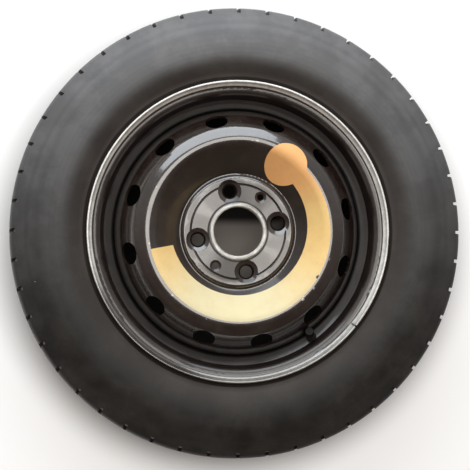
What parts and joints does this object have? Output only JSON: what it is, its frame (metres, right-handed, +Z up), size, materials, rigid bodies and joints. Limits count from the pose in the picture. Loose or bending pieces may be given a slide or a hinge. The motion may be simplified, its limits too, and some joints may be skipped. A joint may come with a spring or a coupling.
{
  "type": "spare wheel",
  "caption": "Narrow black steel car spare wheel with a tubeless tyre, dished vented disc, bolt seats, centre bore, orange band label and snap-in valve.",
  "frame": {"origin": "on the floor under the centre of the wheel, which lies on its back", "axes": "+Z up along the axle line, towards the outer face; +Y towards the top of the pictured face; +X to its right"},
  "size_m": [0.545, 0.545, 0.1388],
  "materials": {
    "tyre_rubber": "matte moulded rubber, dusty on the upper sidewall",
    "black_steel": "gloss black paint, chipped on ridges",
    "weld_steel": "painted weld bead",
    "orange_film": "glossy vinyl film",
    "valve_rubber": "smooth moulded rubber",
    "valve_brass": "turned brass",
    "seal_rubber": "soft seal rubber",
    "pin_steel": "plain steel wire",
    "cap_plastic": "moulded black plastic"
  },
  "bodies": {
    "wheel": {"tyre": "tyre_rubber", "rim": "black_steel", "wheel_disc": "black_steel", "disc_welds": "weld_steel", "band_label": "orange_film", "valve_body": "valve_rubber", "valve_stem": "valve_brass", "valve_core_plug": "valve_brass", "valve_core_gasket": "seal_rubber", "valve_core_spring": "pin_steel"},
    "valve_pin": {"valve_core_pin": "pin_steel", "valve_core_cup": "seal_rubber"},
    "valve_cap": {"valve_cap": "cap_plastic", "valve_cap_seal": "seal_rubber"}
  },
  "joints": [
    {"name": "valve_cap_pull", "type": "slide", "parent": "wheel", "child": "valve_cap", "axis": [-0.2454, 0.3441, 0.9063], "range_m": [0, 0.016]},
    {"name": "valve_pin_press", "type": "slide", "parent": "wheel", "child": "valve_pin", "axis": [0.2454, -0.3441, -0.9063], "range_m": [0, 0.0018], "stiffness_N_per_m": 600, "springref_m": -0.002, "deforming": ["valve_core_spring"]}
  ]
}
